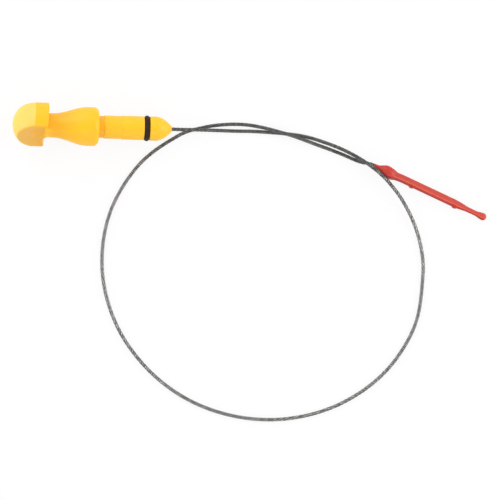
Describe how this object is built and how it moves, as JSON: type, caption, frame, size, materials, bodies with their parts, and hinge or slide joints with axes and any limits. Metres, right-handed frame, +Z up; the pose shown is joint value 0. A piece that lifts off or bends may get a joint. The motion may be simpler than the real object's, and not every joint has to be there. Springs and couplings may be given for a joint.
{
  "type": "engine oil dipstick",
  "caption": "Engine oil dipstick with a moulded finger grip, an O-ring plug, a stranded steel cable and a red gauge tip.",
  "frame": {"origin": "on the handle's axis, at the shoulder that seats on the dipstick tube's mouth", "axes": "+X runs along the handle towards the tip as seen from above, and +Z is up from the surface it lies on"},
  "size_m": [0.2144, 0.1398, 0.022],
  "materials": {
    "yellow_plastic": "satin",
    "ring_rubber": "satin",
    "cable_steel": "satin",
    "crimp_steel": "satin",
    "red_plastic": "gloss"
  },
  "bodies": {
    "root": {"handle": "yellow_plastic", "o_ring": "ring_rubber", "cable": "cable_steel", "handle_ferrule": "crimp_steel", "gauge_tip": "red_plastic", "tip_ferrule": "crimp_steel"}
  },
  "joints": []
}
